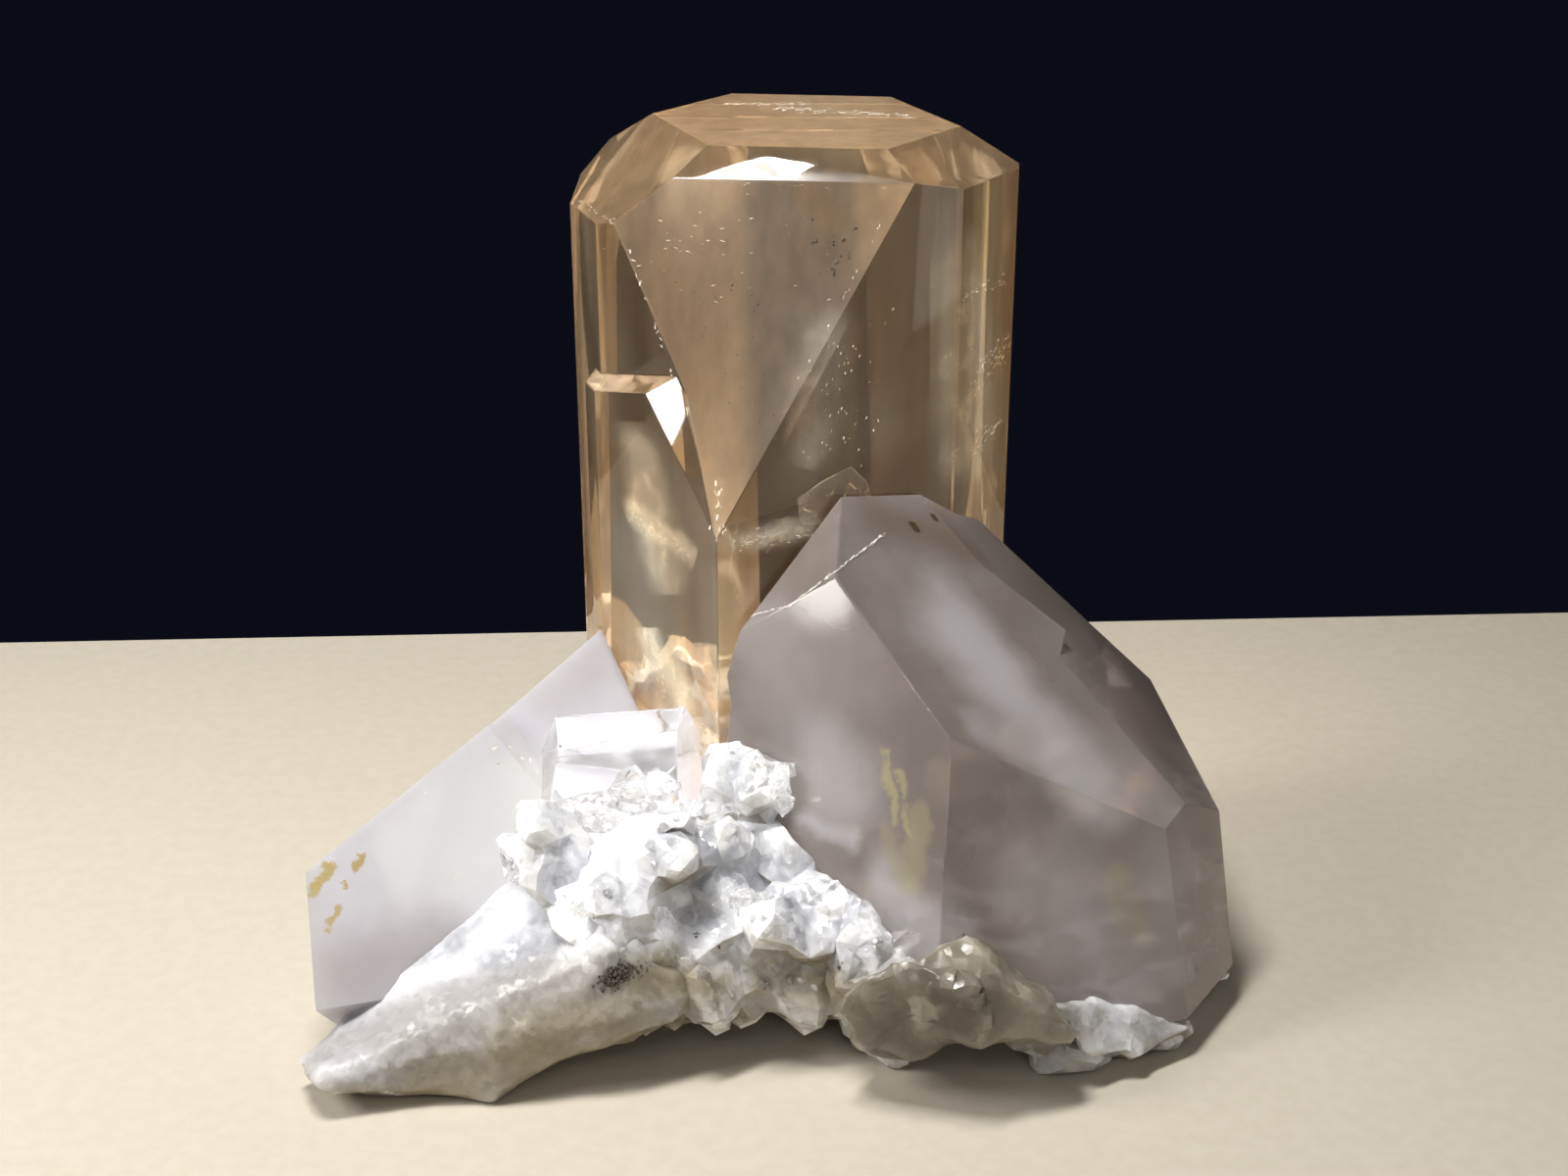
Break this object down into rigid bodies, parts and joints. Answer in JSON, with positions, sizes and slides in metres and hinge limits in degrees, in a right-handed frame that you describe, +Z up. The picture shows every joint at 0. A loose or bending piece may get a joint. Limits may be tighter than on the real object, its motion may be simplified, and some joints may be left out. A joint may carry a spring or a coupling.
{
  "type": "topaz crystal specimen on quartz",
  "caption": "Upright champagne topaz prism with a chisel-shaped front dome, grown together with smoky, milky and clear quartz crystals on a white granular quartz matrix; a display specimen.",
  "frame": {"origin": "middle of the specimen's underside, on the surface that it stands on", "axes": "+Z up along the topaz prism, -Y to the front where the topaz shows its dome face, +X to the right"},
  "size_m": [0.0578, 0.0544, 0.0505],
  "materials": {
    "topaz": "clear champagne crystal with smooth natural faces and a frosted top",
    "smoky_quartz": "translucent grey-brown crystal with cloudy white patches",
    "milky_quartz": "milky white-lavender crystal with a few yellow iron stains",
    "clear_quartz": "clear colourless crystal",
    "granular_quartz": "rough sparkling white grains, cream along the lower rim"
  },
  "bodies": {
    "root": {"topaz_crystal": "topaz", "smoky_quartz_crystal": "smoky_quartz", "milky_quartz_crystal": "milky_quartz", "clear_quartz_crystal": "clear_quartz", "quartz_matrix": "granular_quartz"}
  },
  "joints": []
}
